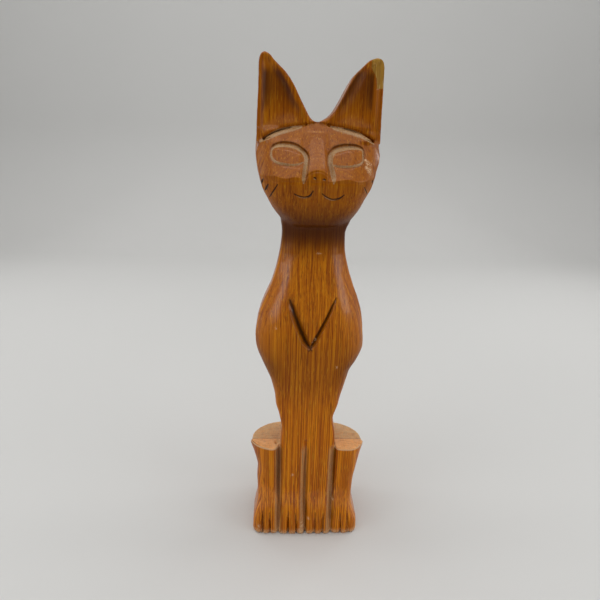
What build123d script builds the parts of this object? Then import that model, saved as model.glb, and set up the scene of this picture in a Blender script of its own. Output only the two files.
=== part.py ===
from build123d import *
import os
from collections import namedtuple
from math import cos, pi, sin

# A sitting cat carved from a glued-up hardwood blank. Sizes are in millimetres. The cat faces -Y and
# sits on z = 0; the origin is under the middle of its base.

# overall sizes
height = 271.0
depth = 48.0
haunch_width = 66.0

# the blank: a front board glued to a back board, face to face
front_board_thickness = 18.5

# heights, from the floor up to the waist and from the ear tips down to the neck
toes_height = 10.0
shank_height = 30.0
haunch_height = 21.0
waist_height = 19.0
ears_height = 32.0
brow_height = 24.0
jaw_height = 22.0
neck_gap = 3.0
chest_share = 0.464

# widths
paws_inset = 1.8
shanks_inset = 4.5
front_legs_width = 30.8
chest_width = 60.2
neck_width = 33.0
chin_width = 27.0
cheek_width = 57.6
brow_swell = 0.8
crown_width = 59.6
ears_width = 59.0
rump_width = 28.0
spine_width = 24.0
paws_undercut = 0.5

# how far the front of each form stands behind the front toes
hind_setback = 0.5
shank_setback = 3.4
waist_setback = 4.2
chest_setback = 1.2
neck_setback = 11.5
chin_setback = 8.0
nose_setback = 2.0
crown_setback = 18.8
ear_tip_setback = 21.5

# how far the back of each form stands in front of the rump
haunch_tuck = 0.0
waist_tuck = 5.2
chest_tuck = 2.2
neck_tuck = 10.9
chin_tuck = 13.4
nose_tuck = 5.4
crown_tuck = 7.9
ear_tip_thickness = 7.0

# rounding of the front corners
toe_corner = 6.0
leg_corner = 3.0
haunch_corner = 10.0
chest_corner = 14.0
neck_corner = 7.0
chin_corner = 8.0
head_corner = 14.0
crown_corner = 12.0
corner_limit = 0.7  # the most of a section's length that its front corners take
back_flatness = 0.4
flank_flatness = 0.3

# haunch tops: they fall towards the back and round over at the outside
haunch_slope = 13.0
haunch_round = 3.0
haunch_crest = 2.2
haunch_margin = 1.0
rump_curl = 1.0
spine_rise = 16.0

# ears: flat plates that lean back, each hollowed in front inside a rim
ear_sink = 0.4
ear_root = 7.0
ear_gap_rise = 2.6
ear_tip_inset = 3.8
ear_tip_shoulder = 5.0
ear_tip_pitch = 0.3
ear_front_reach = 3.5
ear_back_inset = 1.6
ear_corner = 3.0
ear_flank = 0.6
ear_rim = 3.0
ear_hollow_depth = 4.5
ear_hollow_foot = 2.5
ear_hollow_drop = 6.5
ear_hollow_inset = 4.2
ear_hollow_rise = 1.2
ear_apex_inset = 6.2
ear_apex_drop = 6.2

# points along the gap edge of an ear and along its hollow: out from the middle, down from the tip
ear_gap_edge = ((4.5, 26.0), (8.0, 20.0), (13.4, 10.0), (18.2, 5.0), (21.8, 1.7))
ear_hollow_edge = ((8.2, 24.2), (14.2, 15.0))

# V-shaped grooves between the legs, and kerfs between the toes
groove_width = 2.6
groove_depth = 3.6
leg_groove_shift = 0.3
centre_groove_rise = 8.0
kerf_width = 1.6
kerf_depth = 2.6
kerf_rise = 9.0
toes_per_paw = 3

# the V cut into the chest
v_rise = 25.0
v_width = 23.2
v_height = 26.0
v_groove_width = 3.2
v_groove_depth = 1.6

# lines of the face
line_width = 1.3
line_depth = 0.8
eye_inner = 5.6
eye_outer = 21.2
eye_rise = 15.0
eye_height = 8.0
eye_droop = 3.5
eye_round = 1.5
eye_brow_run = 8.0
eye_brow_drop = 0.8
eye_corner_run = 5.0
eye_corner_rise = 4.0
eye_inner_run = 3.0
eye_inner_sag = 0.5
nose_width = 12.0
nose_height = 3.2
nose_rise = 2.0
philtrum_drop = 1.0
mouth_width = 24.0
mouth_drop = 6.6
mouth_sag = 1.6

# tail in low relief down the back
tail_thickness = 9.0
tail_rise = 8.0
tail_swing = 13.0
tail_proud = 2.6
tail_root_sink = 6.0
tail_lean = 1.0
tail_tip_lift = 6.3

# repair let into the tip of one ear
patch_height = 14.0

# how far cutters run past a surface, and how many sections shape the skull between two levels
margin = 1.0
head_steps = 6

toe_front = -depth / 2
rump_back = depth / 2 - tail_proud
glue_plane = toe_front + front_board_thickness
toe_level = toes_height
shank_level = toe_level + shank_height
haunch_level = shank_level + haunch_height
waist_level = haunch_level + waist_height
crown_level = height - ears_height
nose_level = crown_level - brow_height
chin_level = nose_level - jaw_height
neck_level = chin_level - neck_gap
chest_level = waist_level + (neck_level - waist_level) * chest_share
leg_groove_x = front_legs_width / 2 + leg_groove_shift
paws_width = haunch_width - 2 * paws_inset
shanks_width = haunch_width - 2 * shanks_inset
far = 2 * height

Station = namedtuple("Station", "level half_width front back corner")


def station(level, width, setback, tuck, corner):
    """A named cross-section: level, width, distances behind the toes and before the rump, corner."""
    return Station(level, width / 2, toe_front + setback, rump_back - tuck, corner)


def section(place, flank=flank_flatness):
    """A face with a flat front, rounded front corners, straight flanks and a rounded back.

    flank is the share of the length behind the front corners that runs straight back.
    """
    level, half_width, front, back, corner = place
    corner = min(corner, corner_limit * (back - front))
    shoulder = front + corner
    hip = shoulder + (back - shoulder) * flank
    flat = half_width - corner
    back_flat = half_width * back_flatness
    reach = (half_width - back_flat, back - hip)
    outline = [
        Line((-flat, front), (flat, front)),
        CenterArc((flat, shoulder), corner, -90, 90),
        Line((half_width, shoulder), (half_width, hip)),
        EllipticalCenterArc((back_flat, hip), *reach, 0, arc_size=90),
        Line((back_flat, back), (-back_flat, back)),
        EllipticalCenterArc((-back_flat, hip), *reach, 90, arc_size=90),
        Line((-half_width, hip), (-half_width, shoulder)),
        CenterArc((-flat, shoulder), corner, 180, 90),
    ]
    return Pos(0, 0, level) * make_face(outline)


def ease(stations, steps=4):
    """Sections that swell and narrow smoothly from each station to the next."""
    faces = []
    for lower, upper in zip(stations, stations[1:]):
        for step in range(steps):
            level = lower.level + (upper.level - lower.level) * step / steps
            share = (1 - cos(pi * step / steps)) / 2
            rest = [low + (high - low) * share for low, high in zip(lower[1:], upper[1:])]
            faces.append(section(Station(level, *rest)))
    faces.append(section(stations[-1]))
    return faces


def wedge(points, thickness):
    """A side outline of (y, z) points, sawn right across the figure."""
    return extrude(Plane.YZ * make_face(Polyline(*points, close=True)), thickness / 2, both=True)


def torso_stations():
    """Front-leg column, waist, chest, neck, and a stub that runs up into the head."""
    stub_level = (chin_level + nose_level) / 2
    return [
        station(0, front_legs_width, 0, waist_tuck, leg_corner),
        station(toe_level, front_legs_width, 0, waist_tuck, leg_corner),
        station(shank_level, front_legs_width, shank_setback, waist_tuck, leg_corner),
        station(waist_level, front_legs_width, waist_setback, waist_tuck, leg_corner),
        station(chest_level, chest_width, chest_setback, chest_tuck, chest_corner),
        station(neck_level, neck_width, neck_setback, neck_tuck, neck_corner),
        station(stub_level, neck_width, neck_setback, neck_tuck, neck_corner),
    ]


def front_at(level):
    """Where the front of the torso stands at a level."""
    stations = torso_stations()
    for lower, upper in zip(stations, stations[1:]):
        if level <= upper.level:
            run = max(level - lower.level, 0) / (upper.level - lower.level)
            share = (1 - cos(pi * run)) / 2
            return lower.front + (upper.front - lower.front) * share
    return stations[-1].front


def make_haunches():
    """Hind paws, shanks and the two round haunches, cut off by their sloping tops."""
    shank = hind_setback + shank_setback
    over = haunch_level + haunch_round + haunch_crest
    block = loft(ease([
        station(0, paws_width - 2 * paws_undercut, hind_setback, haunch_tuck + rump_curl, toe_corner),
        station(toe_level, paws_width, hind_setback, haunch_tuck, toe_corner),
        station(shank_level, shanks_width, shank, haunch_tuck, toe_corner),
        station(haunch_level, haunch_width, shank, haunch_tuck + rump_curl, haunch_corner),
        station(over, haunch_width, shank, haunch_tuck + 2 * rump_curl, haunch_corner),
    ]))
    outline = RectangleRounded(haunch_width + 2 * haunch_margin, 2 * over, haunch_round)
    saw = extrude(Plane.XZ * outline, far, both=True)
    crest = haunch_level + haunch_crest
    return block & Pos(0, toe_front, crest) * Rot(X=-haunch_slope) * Pos(0, 0, -over) * saw


def make_rump():
    """The spine's fall from the waist to the rump, hidden from in front by the legs."""
    top = waist_level + spine_rise
    return loft(ease([
        station(toe_level, rump_width, depth / 2, haunch_tuck + rump_curl, leg_corner),
        station(haunch_level, rump_width, depth / 2, haunch_tuck + rump_curl / 2, leg_corner),
        station(top, spine_width, depth / 2, waist_tuck + rump_curl, leg_corner),
    ]))


def make_head(inset=0):
    """The skull: a narrow chin rounds out to the cheeks, then the brow leans back to the crown."""
    slim = 2 * inset
    chin = station(chin_level, chin_width - slim, chin_setback + inset, chin_tuck, chin_corner)
    nose = station(nose_level, cheek_width - slim, nose_setback + inset, nose_tuck, head_corner)
    crown = station(crown_level, crown_width - slim, crown_setback + inset, crown_tuck, crown_corner)
    faces = []
    for lower, upper, swell in ((chin, nose, 0), (nose, crown, brow_swell)):
        for step in range(head_steps):
            run = step / head_steps
            share = run if swell else sin(pi / 2 * run)
            level = lower.level + (upper.level - lower.level) * run
            width, *rest = [low + (high - low) * share for low, high in zip(lower[1:], upper[1:])]
            faces.append(section(Station(level, width + swell * sin(pi * run), *rest)))
    return loft(faces + [section(crown)])


def ear_front_at(level):
    """Where the leaning front face of the ears stands at a level."""
    share = (level - crown_level) / (height - crown_level)
    root = toe_front + crown_setback + ear_sink
    return root + (toe_front + ear_tip_setback - root) * share


def make_ears():
    """Two pointed plates above the brow, with the V-shaped gap between them."""
    side = ears_width / 2
    base = crown_level - ear_root
    tip = (side - ear_tip_inset, height)
    shoulder = (side, height - ear_tip_shoulder)
    gap = (0, crown_level + ear_gap_rise)
    edge = [(x, height - drop) for x, drop in ear_gap_edge]
    right = [
        Spline(gap, *edge, tip, tangents=((1, 0), (1, ear_tip_pitch))),
        Spline(tip, shoulder, tangents=((1, 0), (0, -1))),
        Line(shoulder, (side, base)),
    ]
    left = [mirror(curve, Plane.YZ) for curve in right]
    outline = make_face(right + left + [Line((-side, base), (side, base))])
    plates = extrude(Plane.XZ * outline, far, both=True)
    reach = crown_setback - ear_front_reach
    plan = station(base, ears_width, reach, crown_tuck + ear_back_inset, ear_corner)
    tip_back = toe_front + ear_tip_setback + ear_tip_thickness
    side_view = [
        (ear_front_at(base), base), (ear_front_at(height), height),
        (tip_back, height), (rump_back, crown_level), (rump_back, base),
    ]
    return plates & wedge(side_view, far) & extrude(section(plan, ear_flank), height)


def ear_rim_curve():
    """The top of the right hollow's outer edge: it leaves the straight rim and bends in to the apex."""
    side = ears_width / 2
    bend = (side - ear_rim, height - patch_height)
    apex = (side - ear_apex_inset, height - ear_apex_drop)
    return Spline(bend, apex, tangents=((0, 1), (-1, 1)))


def make_ear_hollow():
    """Cutter for the three-cornered hollow in the front of the right ear; it is shallower at its foot."""
    rim = ear_rim_curve()
    bend, apex = [(end.X, end.Y) for end in (rim @ 0, rim @ 1)]
    edge = [(x, height - drop) for x, drop in ear_hollow_edge]
    foot = (ear_hollow_inset, crown_level + ear_hollow_rise)
    low = crown_level - ear_hollow_drop
    outline = make_face([rim, Spline(apex, *reversed(edge), foot), Polyline(foot, (bend[0], low), bend)])
    floor = [
        (-far, low - margin), (-far, height), (ear_front_at(height) + ear_hollow_depth, height),
        (ear_front_at(low) + ear_hollow_foot, low - margin),
    ]
    return extrude(Plane.XZ * outline, far, both=True) & wedge(floor, far)


def groove(points, width, depth):
    """V-shaped cutter through (x, y, z, cut) points on a front surface; it narrows where it is shallow."""
    slant = width / 2 / depth
    faces = []
    for x, y, z, cut in points:
        half = slant * (cut + margin)
        lip = y - margin
        triangle = make_face(Polyline((x - half, lip), (x + half, lip), (x, y + cut), close=True))
        faces.append(Pos(0, 0, z) * triangle)
    return loft(faces, ruled=True)


def leg_grooves():
    """The grooves that part the front legs from each other and from the haunches."""
    top = haunch_level + haunch_crest + margin
    levels = [-margin, toe_level, (toe_level + shank_level) / 2, shank_level, top]
    cutters = []
    for x in (-leg_groove_x, leg_groove_x):
        points = [(x, front_at(z), z, groove_depth) for z in levels]
        cutters.append(groove(points, groove_width, groove_depth))
    fade = waist_level + centre_groove_rise
    centre = [(0, front_at(z), z, groove_depth) for z in levels[:-1]]
    cutters.append(groove(centre + [(0, front_at(fade), fade, 0)], groove_width, groove_depth))
    return cutters


def toe_kerfs():
    """The kerfs that part each paw into toes; they die out at their tops."""
    cutters = []
    for inner, outer in ((0, leg_groove_x), (leg_groove_x, paws_width / 2)):
        for toe in range(1, toes_per_paw):
            x = inner + (outer - inner) * toe / toes_per_paw
            ends = [(-margin, kerf_depth), (toe_level, kerf_depth), (toe_level + kerf_rise, 0)]
            for side in (-x, x):
                points = [(side, front_at(z), z, cut) for z, cut in ends]
                cutters.append(groove(points, kerf_width, kerf_depth))
    return cutters


def chest_v():
    """The two arms of the V, cut from the shoulders down to one point on the chest."""
    top = chest_level + v_rise
    cutters = []
    for side in (-1, 1):
        points = []
        for run, cut in ((1, v_groove_depth), (0.5, v_groove_depth), (0, 0)):
            level = top - v_height * run
            points.append((side * v_width / 2 * (1 - run), front_at(level), level, cut))
        cutters.append(groove(points, v_groove_width, v_groove_depth))
    return cutters


def face_lines():
    """Eye outlines, the arch over the nose, the line under it and the mouth, cut to one depth."""
    top = nose_level + eye_rise
    low = top - eye_height
    right_eye = make_face(Polyline(
        (eye_inner, top - eye_droop), (eye_outer - eye_brow_run, top - eye_brow_drop),
        (eye_outer, top), (eye_outer, low + eye_corner_rise), (eye_outer - eye_corner_run, low),
        (eye_inner + eye_inner_run, low - eye_inner_sag), close=True,
    ))
    right_eye = fillet(right_eye.vertices(), eye_round)
    lines = Sketch()
    for eye in (right_eye, mirror(right_eye, Plane.YZ)):
        lines += offset(eye, line_width / 2) - offset(eye, -line_width / 2)
    wing = nose_width / 2
    wing_level = nose_level + nose_rise
    mouth = nose_level - mouth_drop
    middle = (0, mouth + mouth_sag)
    curves = [
        ThreePointArc((-wing, wing_level), (0, wing_level + nose_height), (wing, wing_level)),
        Line((0, nose_level - philtrum_drop), middle),
    ]
    for side in (-1, 1):
        corner = (side * mouth_width / 2, mouth)
        dip = (side * mouth_width / 4, mouth - mouth_sag)
        curves.append(ThreePointArc(corner, dip, middle))
    for curve in curves:
        lines += trace(curve, line_width)
    return extrude(Plane.XZ * lines, depth) - make_head(line_depth)


def make_tail():
    """A tail that hangs down the middle of the back and turns to one side at the floor."""
    rest = depth / 2 - tail_thickness / 2
    root = rest + tail_proud - tail_root_sink - waist_tuck / 2
    path = Spline(
        (0, root, waist_level + tail_rise), (0, rest - tail_lean, haunch_level),
        (0, rest, shank_level), (tail_swing / 5, rest - tail_lean / 2, toe_level * 2),
        (tail_swing, rest - 2 * tail_lean, tail_tip_lift),
    )
    tail = sweep((path ^ 0) * Circle(tail_thickness / 2), path)
    for end in (path @ 0, path @ 1):
        tail += Pos(end) * Sphere(tail_thickness / 2)
    return tail


def make_figure():
    """The whole carved figure before it is told apart into the pieces it was glued from."""
    figure = loft(ease(torso_stations())) + make_haunches() + make_rump()
    figure += make_head() + make_ears() + make_tail()
    hollow = make_ear_hollow()
    cutters = [hollow, mirror(hollow, Plane.YZ), face_lines()]
    cutters += leg_grooves() + toe_kerfs() + chest_v()
    return figure - cutters


def make_pieces():
    """Front board, back board and the patch let into the right ear tip."""
    figure = make_figure()
    front_half = Pos(0, glue_plane - depth, height / 2) * Box(far, 2 * depth, far)
    rim = ear_rim_curve()
    bend, apex = [(end.X, end.Y) for end in (rim @ 0, rim @ 1)]
    over = height + margin
    wide = haunch_width
    notch = make_face([
        rim, Polyline(apex, (apex[0], over), (wide, over), (wide, bend[1]), bend),
    ])
    patch_block = extrude(Plane.XZ * notch, far, both=True)
    return {
        "front_board": (figure & front_half) - patch_block,
        "back_board": figure - front_half - patch_block,
        "ear_tip_patch": figure & patch_block,
    }


os.makedirs("parts", exist_ok=True)
for name, piece in make_pieces().items():
    export_step(piece, "parts/" + name + ".step")
    print(name, "volume", round(piece.volume), "mm3")
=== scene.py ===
# %% [markdown]
# # A cat carved from a glued-up blank of hardwood
#
# The cat sits upright: two pointed ears with hollowed fronts, closed eyes, a V cut into the chest,
# and long straight legs that end in four paws with three toes each. It was sawn to shape from two
# boards glued face to face, rounded with a knife and rasp, sanded, cut with a gouge, and varnished.
#
# This lesson does the same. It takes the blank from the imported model, sands it, carves it, and only
# then parts it again at the glue, so that every cut runs across the glue line as it does in real wood.

# %% The frame and the units
from math import pi, radians

import bmesh
import bpy
import numpy as np
from mathutils import Euler, Matrix, Vector, noise


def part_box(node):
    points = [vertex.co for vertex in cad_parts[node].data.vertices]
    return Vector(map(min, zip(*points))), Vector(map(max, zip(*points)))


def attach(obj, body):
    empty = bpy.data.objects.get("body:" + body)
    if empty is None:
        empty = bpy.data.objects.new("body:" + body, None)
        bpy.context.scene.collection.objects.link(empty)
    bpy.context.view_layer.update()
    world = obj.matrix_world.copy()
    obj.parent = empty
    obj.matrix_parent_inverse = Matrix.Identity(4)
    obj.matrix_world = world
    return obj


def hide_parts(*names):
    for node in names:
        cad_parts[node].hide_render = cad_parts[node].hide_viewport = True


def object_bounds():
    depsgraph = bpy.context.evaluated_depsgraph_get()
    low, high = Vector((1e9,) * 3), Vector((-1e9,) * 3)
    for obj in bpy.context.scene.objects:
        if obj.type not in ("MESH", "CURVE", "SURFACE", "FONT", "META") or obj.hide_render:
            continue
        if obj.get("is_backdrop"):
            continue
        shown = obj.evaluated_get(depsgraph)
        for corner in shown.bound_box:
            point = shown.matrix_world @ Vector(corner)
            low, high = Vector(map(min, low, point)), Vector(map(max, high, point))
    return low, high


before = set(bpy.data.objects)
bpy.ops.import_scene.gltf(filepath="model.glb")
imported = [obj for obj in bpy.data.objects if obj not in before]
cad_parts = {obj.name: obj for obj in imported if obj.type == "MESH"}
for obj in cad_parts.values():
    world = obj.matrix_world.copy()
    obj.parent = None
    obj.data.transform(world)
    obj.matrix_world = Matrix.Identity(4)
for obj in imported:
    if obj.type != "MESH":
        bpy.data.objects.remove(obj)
cad_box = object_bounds()
MM = 0.001
print("the blank, mm:", [[round(v / MM, 1) for v in corner] for corner in cad_box])

# %% [markdown]
# ## The camera
#
# A short lens close to the cat, a little higher than its eyes and looking down, as when a small thing
# on a table is looked at. The camera leans over by a degree and a half, as a hand-held one does.

# %% The camera
LENS, FILM, NEAREST = 27, 36, 0.01
CAMERA_PLACE = Vector((-15.0, -236.6, 237.0)) * MM
CAMERA_TILT, CAMERA_TURN, CAMERA_ROLL = radians(69.5), radians(-2.18), radians(1.53)

camera = bpy.data.objects.new("camera", bpy.data.cameras.new("camera"))
bpy.context.scene.collection.objects.link(camera)
camera.data.lens = LENS
camera.data.sensor_width = FILM
camera.data.clip_start = NEAREST
camera.location = CAMERA_PLACE
aim = Euler((CAMERA_TILT, 0, CAMERA_TURN)).to_matrix() @ Matrix.Rotation(CAMERA_ROLL, 3, "Z")
camera.rotation_euler = aim.to_euler()
bpy.context.scene.camera = camera
bpy.context.scene.view_settings.view_transform = "Standard"
print("camera, mm:", [round(v / MM, 1) for v in camera.location])

# %% [markdown]
# ## Shader sums in plain Python
#
# A material is a flow of numbers from socket to socket. The class below wraps one output socket, so
# that an expression such as 1 - mask adds the Math nodes by itself. Every other node comes from one
# method that takes the node's type, its settings, and the values or links of its inputs.

# %% Flow and Recipe
class Flow:
    """An output socket that can be added, taken away, multiplied, divided and made positive."""

    def __init__(self, recipe, socket):
        self.recipe, self.socket = recipe, socket

    def sum(self, operation, left, right):
        return self.recipe.node("ShaderNodeMath", {"operation": operation}, {0: left, 1: right})

    def __add__(self, other): return self.sum("ADD", self, other)
    def __radd__(self, other): return self.sum("ADD", other, self)
    def __sub__(self, other): return self.sum("SUBTRACT", self, other)
    def __rsub__(self, other): return self.sum("SUBTRACT", other, self)
    def __mul__(self, other): return self.sum("MULTIPLY", self, other)
    def __rmul__(self, other): return self.sum("MULTIPLY", other, self)
    def __truediv__(self, other): return self.sum("DIVIDE", self, other)
    def __abs__(self): return self.recipe.node("ShaderNodeMath", {"operation": "ABSOLUTE"}, {0: self})


class Recipe:
    """The nodes of a material or of the studio's air, and the shader they feed."""

    def __init__(self, owner, shader="Principled BSDF"):
        owner.use_nodes = True
        self.owner = owner
        self.tree = owner.node_tree
        self.surface = self.tree.nodes[shader]

    def node(self, kind, settings=None, values=None, output=0):
        """Adds a node, sets it, fills or links its inputs, and returns one of its outputs."""
        made = self.tree.nodes.new(kind)
        for key, value in (settings or {}).items():
            if key == "stops":
                self.set_stops(made.color_ramp, value)
            else:
                setattr(made, key, value)
        for key, value in (values or {}).items():
            self.feed(made.inputs[key], value)
        return Flow(self, made.outputs[output])

    def feed(self, socket, value):
        """Links a flow to a socket, or sets the socket's own value."""
        if isinstance(value, Flow):
            self.tree.links.new(value.socket, socket)
        else:
            socket.default_value = value

    def set_stops(self, ramp_band, stops):
        """Gives a colour ramp its stops: place and colour."""
        while len(ramp_band.elements) < len(stops):
            ramp_band.elements.new(0.5)
        for element, (place, colour) in zip(ramp_band.elements, stops):
            element.position = place
            element.color = (*colour, 1)

    def mix(self, share, low, high):
        """A colour between two colours."""
        return self.node(
            "ShaderNodeMix", {"data_type": "RGBA"}, {"Factor": share, 6: low, 7: high}, output=2
        )

    def stretch(self, vector, factors):
        """A vector multiplied by another, part by part."""
        return self.node("ShaderNodeVectorMath", {"operation": "MULTIPLY"}, {0: vector, 1: factors})

    def cloud(self, vector, scale, detail=2.0, roughness=0.5, twist=0.0):
        """Smooth noise, 0 to 1."""
        return self.node(
            "ShaderNodeTexNoise", {},
            {"Vector": vector, "Scale": scale, "Detail": detail, "Roughness": roughness, "Distortion": twist},
        )

    def between(self, value, low, high, to_low=0.0, to_high=1.0):
        """A value taken from one range to another with soft ends."""
        return self.node(
            "ShaderNodeMapRange", {"interpolation_type": "SMOOTHSTEP"},
            {"Value": value, "From Min": low, "From Max": high, "To Min": to_low, "To Max": to_high},
        )

    def axis(self, vector, name):
        """One part of a vector, X, Y or Z, as a number."""
        return self.node("ShaderNodeSeparateXYZ", {}, {"Vector": vector}, output=name)

    def attribute(self, name):
        """An attribute of the piece as a number."""
        return self.node("ShaderNodeAttribute", {"attribute_name": name}, output="Fac")


print("shader tools are ready")

# %% [markdown]
# ## The studio
#
# A pale sheet makes the floor and bends up into a wall without a corner, so no line crosses the
# background.

# %% Floor and wall
FLOOR_HALF, WALL_AT, WALL_HEIGHT = 2.0, 0.62, 1.6
COVE, COVE_STEPS = 0.25, 16


def add_object(name, shape):
    """A new object from a bmesh or a mesh, linked to the scene."""
    mesh = shape
    if isinstance(shape, bmesh.types.BMesh):
        mesh = bpy.data.meshes.new(name)
        shape.to_mesh(mesh)
        shape.free()
    made = bpy.data.objects.new(name, mesh)
    bpy.context.scene.collection.objects.link(made)
    return made


def only(kind, result, key="geom"):
    """The pieces of one kind, such as BMVert, among those that an operator returns."""
    return [piece for piece in result[key] if isinstance(piece, kind)]


def studio_sheet():
    """A floor that bends up into a wall behind the cat."""
    sheet = bmesh.new()
    bmesh.ops.create_grid(sheet, x_segments=1, y_segments=1, size=1)
    bmesh.ops.scale(sheet, vec=(FLOOR_HALF, (FLOOR_HALF + WALL_AT) / 2, 1), verts=sheet.verts)
    bmesh.ops.translate(sheet, vec=(0, (WALL_AT - FLOOR_HALF) / 2, 0), verts=sheet.verts)
    back = [edge for edge in sheet.edges if all(vert.co.y > WALL_AT - 0.01 for vert in edge.verts)]
    bent = bmesh.ops.spin(
        sheet, geom=back, cent=(0, WALL_AT, COVE), axis=(1, 0, 0), angle=pi / 2, steps=COVE_STEPS
    )
    raised = bmesh.ops.extrude_edge_only(sheet, edges=only(bmesh.types.BMEdge, bent, "geom_last"))
    bmesh.ops.translate(sheet, vec=(0, 0, WALL_HEIGHT), verts=only(bmesh.types.BMVert, raised))
    bmesh.ops.recalc_face_normals(sheet, faces=sheet.faces)
    for face in sheet.faces:
        face.smooth = True
    return add_object("studio_floor", sheet)


floor = studio_sheet()
print("floor faces:", len(floor.data.polygons))

# %% [markdown]
# ## Air and lamps
#
# Varnish shows what stands round it. Pale air above, behind and at the sides puts a haze on every
# surface that leans back or turns away: the brow, the shoulders, the tops of the haunches, the edges.
# The air behind the camera is dim, so the upright fronts keep their deep colour. The camera itself
# sees air of one plain brightness, so no view has a dark patch in its background. One wide soft lamp
# overhead gives the shapes their shade, a window on each side lights the edges, one lamp washes the
# wall, and two small ones reach the haunches from behind.

# %% Air and lamps
DIM_EDGE, DIM_GLOW = (0.5, 0.88), 0.12
PLAIN_AIR = 0.5
SIDE_GLOW, RIGHT_GLOW, TOP_GLOW = 0.35, 0.11, 0.22
AIR_COLOUR = (1.0, 0.985, 0.96, 1)
HEAD, SHOULDERS, HIPS, WALL_FOOT = (0, 0, 0.2), (0, 0, 0.16), (0, 0, 0.06), (0, WALL_AT, 0.25)


def studio_air():
    """Soft light from all round and above, with a dim patch behind the camera."""
    world = bpy.data.worlds.new("studio_air")
    bpy.context.scene.world = world
    air = Recipe(world, "Background")
    heading = air.node("ShaderNodeTexCoord", output="Generated")
    ahead, aside, up = (
        air.node("ShaderNodeVectorMath", {"operation": "DOT_PRODUCT"}, {0: heading, 1: axis}, output="Value")
        for axis in ((0, -1, 0), (1, 0, 0), (0, 0, 1))
    )
    dim = air.between(ahead, *DIM_EDGE)
    glow = SIDE_GLOW + aside * RIGHT_GLOW + up * TOP_GLOW
    seen = air.node("ShaderNodeLightPath", output="Is Camera Ray")
    strength = glow * (1 - dim) + dim * DIM_GLOW
    air.feed(air.surface.inputs["Strength"], strength * (1 - seen) + seen * PLAIN_AIR)
    air.surface.inputs["Color"].default_value = AIR_COLOUR


def softbox(name, place, target, width, height, watts):
    """A rectangular soft light at a place, turned towards a target, both in metres."""
    lamp = bpy.data.lights.new(name, "AREA")
    lamp.shape = "RECTANGLE"
    lamp.size = width
    lamp.size_y = height
    lamp.energy = watts
    made = bpy.data.objects.new(name, lamp)
    made.location = place
    made.rotation_euler = (Vector(target) - Vector(place)).to_track_quat("-Z", "Y").to_euler()
    made.visible_camera = False
    bpy.context.scene.collection.objects.link(made)


studio_air()
softbox("overhead", (-0.1, -0.36, 1.15), HEAD, 1.0, 0.8, 2.7)
softbox("left_window", (-0.69, -0.35, 0.34), SHOULDERS, 0.4, 0.4, 1.1)
softbox("right_window", (0.69, -0.35, 0.36), SHOULDERS, 0.45, 0.4, 1.1)
softbox("wall_wash", (0, 0.1, 1.3), WALL_FOOT, 1.6, 0.2, 5.5)
softbox("behind_right", (0.5, 0.42, 0.42), HIPS, 0.25, 0.4, 0.5)
softbox("behind_left", (-0.5, 0.42, 0.42), HIPS, 0.25, 0.4, 0.4)
print("lamps:", [lamp.name for lamp in bpy.data.lights])

# %% [markdown]
# ## The glued-up blank
#
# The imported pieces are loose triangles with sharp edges, so they can't be carved as they are. Copies
# of the three are put together, their shared points are merged, and a voxel remesh turns the lot
# into one even skin of small squares, as fine as the knife marks that follow. The walls between the
# pieces vanish, because a voxel remesh keeps only what is outside.

# %% One even skin
VOXEL, SAME_POINT = 0.42, 0.001


def glued_blank():
    """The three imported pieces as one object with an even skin."""
    joined = bmesh.new()
    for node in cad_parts.values():
        joined.from_mesh(node.data)
    bmesh.ops.remove_doubles(joined, verts=joined.verts, dist=SAME_POINT * MM)
    blank = add_object("blank", joined)
    skin = blank.modifiers.new("skin", "REMESH")
    skin.mode = "VOXEL"
    skin.voxel_size = VOXEL * MM
    return apply_modifiers(blank)


def apply_modifiers(piece):
    """Writes what the modifiers make into the piece's own mesh."""
    seen = piece.evaluated_get(bpy.context.evaluated_depsgraph_get())
    mesh = bpy.data.meshes.new_from_object(seen)
    piece.modifiers.clear()
    piece.data = mesh
    return piece


def points_of(mesh):
    """The mesh's points as an array, in millimetres."""
    flat = np.empty(len(mesh.vertices) * 3, np.float32)
    mesh.vertices.foreach_get("co", flat)
    return flat.reshape(-1, 3).astype(float) / MM


def normals_of(mesh):
    """The direction in which each point of the mesh faces."""
    flat = np.empty(len(mesh.vertices) * 3, np.float32)
    mesh.vertices.foreach_get("normal", flat)
    return flat.reshape(-1, 3).astype(float)


def move_points(mesh, points):
    """Puts the mesh's points where the array says."""
    mesh.vertices.foreach_set("co", (points * MM).astype(np.float32).ravel())
    mesh.update()


def edges_of(mesh):
    """Each edge's two point numbers."""
    flat = np.empty(len(mesh.edges) * 2, np.int32)
    mesh.edges.foreach_get("vertices", flat)
    return flat.reshape(-1, 2)


blank = glued_blank()
print("blank:", len(blank.data.vertices), "points")

# %% [markdown]
# ## Sanding
#
# Sandpaper takes a point down towards the mean of its neighbours. A few passes everywhere take off
# the saw's sharp edges, and many more round the shoulders and the back of the head. Two more tools
# work only forwards and back: one wears a step down to a shallow bowl, and one fills the straight
# cuts of the blank, so that they can be cut again by hand.

# %% Sandpaper
def ramp(low, high, value):
    """0 below low, 1 above high, and a smooth rise between."""
    share = np.clip((value - low) / (high - low), 0, 1)
    return share * share * (3 - 2 * share)


def within(low, value, high):
    """Whether a value lies between two limits."""
    return (value > low) & (value < high)


def neighbour_mean(values, edges, counts):
    """The mean of each point's neighbours, one column of values at a time."""
    first, second = edges.T
    total = np.zeros_like(values)
    for column in range(values.shape[1]):
        total[:, column] = np.bincount(first, values[second, column], len(values))
        total[:, column] += np.bincount(second, values[first, column], len(values))
    return total / counts[:, None]


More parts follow.
